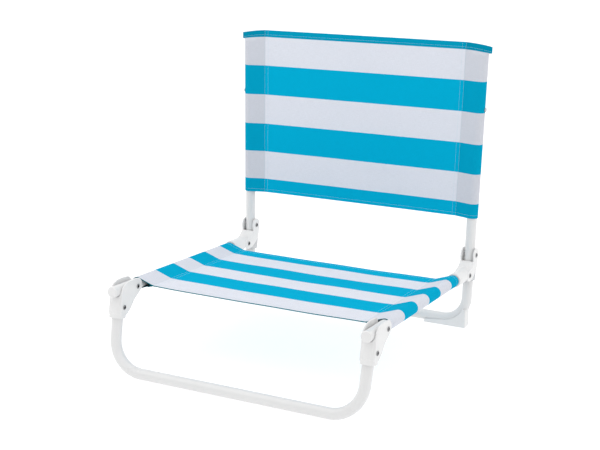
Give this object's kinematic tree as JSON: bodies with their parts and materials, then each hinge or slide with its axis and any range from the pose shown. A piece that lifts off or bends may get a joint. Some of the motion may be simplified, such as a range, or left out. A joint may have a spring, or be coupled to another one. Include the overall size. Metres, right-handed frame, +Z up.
{
  "type": "folding low camp chair",
  "caption": "Low folding chair: striped sling seat and back on white tube frames, with U-shaped front and rear legs that fold under the seat and a back that folds over it.",
  "frame": {"origin": "on the floor, under the middle of the chair's box", "axes": "+X to the right as the chair is seen from in front, +Y from the front bar towards the back, +Z up"},
  "size_m": [0.5746, 0.6404, 0.6128],
  "materials": {
    "white_paint": "smooth white powder coat",
    "white_plastic": "moulded, fine satin texture",
    "steel": "plain zinc-plated steel",
    "sling_fabric": "woven canvas in turquoise and white stripes"
  },
  "bodies": {
    "seat": {"seat_rail_left": "white_paint", "seat_rail_right": "white_paint", "rail_nose_plug_left": "white_plastic", "rail_nose_plug_right": "white_plastic", "rail_tail_plug_left": "white_plastic", "rail_tail_plug_right": "white_plastic", "rear_bracket_left": "white_plastic", "rear_bracket_right": "white_plastic", "leg_pivot_rivet_left": "steel", "leg_pivot_rivet_right": "steel", "seat_sling": "sling_fabric"},
    "front_legs": {"front_leg_frame": "white_paint", "front_bracket_left": "white_plastic", "front_bracket_right": "white_plastic", "front_fixing_rivet_left": "steel", "front_fixing_rivet_right": "steel", "front_pivot_rivet_left": "steel", "front_pivot_rivet_right": "steel"},
    "rear_legs": {"rear_leg_frame": "white_paint", "leg_knuckle_left": "steel", "leg_knuckle_right": "steel", "knuckle_pin_left": "steel", "knuckle_pin_right": "steel", "corner_foot_left": "white_plastic", "corner_foot_right": "white_plastic"},
    "back": {"back_upright_left": "white_paint", "back_upright_right": "white_paint", "upright_foot_plug_left": "white_plastic", "upright_foot_plug_right": "white_plastic", "upright_top_plug_left": "white_plastic", "upright_top_plug_right": "white_plastic", "pivot_washer_inner_left": "white_plastic", "pivot_washer_inner_right": "white_plastic", "pivot_washer_outer_left": "white_plastic", "pivot_washer_outer_right": "white_plastic", "back_pivot_rivet_left": "steel", "back_pivot_rivet_right": "steel", "back_spreader": "white_paint", "spreader_screw_left": "steel", "spreader_screw_right": "steel", "back_sling": "sling_fabric"}
  },
  "joints": [
    {"name": "front_leg_fold", "type": "hinge", "parent": "seat", "child": "front_legs", "pos_m": [0, -0.2315, 0.16], "axis": [1, 0, 0], "range_deg": [0, 99]},
    {"name": "rear_leg_fold", "type": "hinge", "parent": "seat", "child": "rear_legs", "pos_m": [0, 0.2235, 0.126], "axis": [1, 0, 0], "range_deg": [-87.5, 0]},
    {"name": "back_fold", "type": "hinge", "parent": "seat", "child": "back", "pos_m": [0, 0.2615, 0.161], "axis": [1, 0, 0], "range_deg": [0, 88]}
  ]
}
